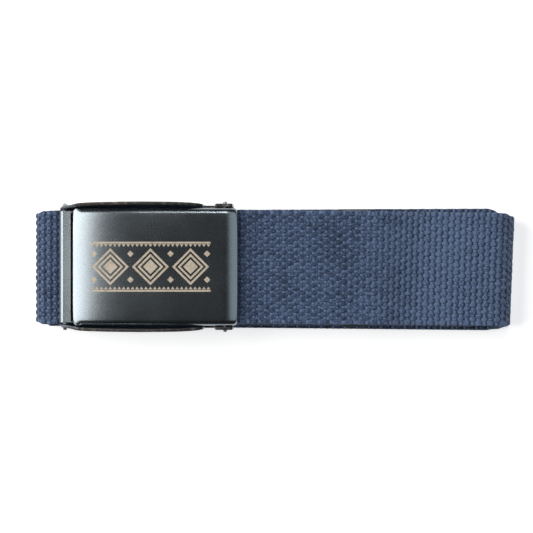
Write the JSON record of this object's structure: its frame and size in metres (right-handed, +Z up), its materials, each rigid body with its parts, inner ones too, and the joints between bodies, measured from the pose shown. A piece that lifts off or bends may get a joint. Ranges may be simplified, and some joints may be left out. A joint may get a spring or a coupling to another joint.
{
  "type": "canvas web belt",
  "caption": "Woven canvas web belt with a flip-top metal buckle, fastened and folded flat, with a sheet-metal tip on its free end.",
  "frame": {"origin": "centre of the folded belt's footprint, on the surface that it lies on", "axes": "+X along the belt from the buckle to the free fold, +Y to the belt's upper edge, +Z up out of the buckle's face"},
  "size_m": [0.1624, 0.044, 0.0211],
  "materials": {
    "canvas": "woven cotton, matt, navy blue",
    "black_metal": "satin black coating",
    "dark_steel": "blackened steel"
  },
  "bodies": {
    "belt": {"web": "canvas", "web_tip": "black_metal", "frame": "black_metal", "hinge_pin": "dark_steel", "clamp_pin": "dark_steel", "strap_clamp": "dark_steel"},
    "lid": {"flip_lever": "black_metal", "face_plate": "black_metal"}
  },
  "joints": [
    {"name": "lid_flip", "type": "hinge", "parent": "belt", "child": "lid", "pos_m": [-0.071, 0, 0.0168], "axis": [0, -1, 0], "range_deg": [0, 95]}
  ]
}
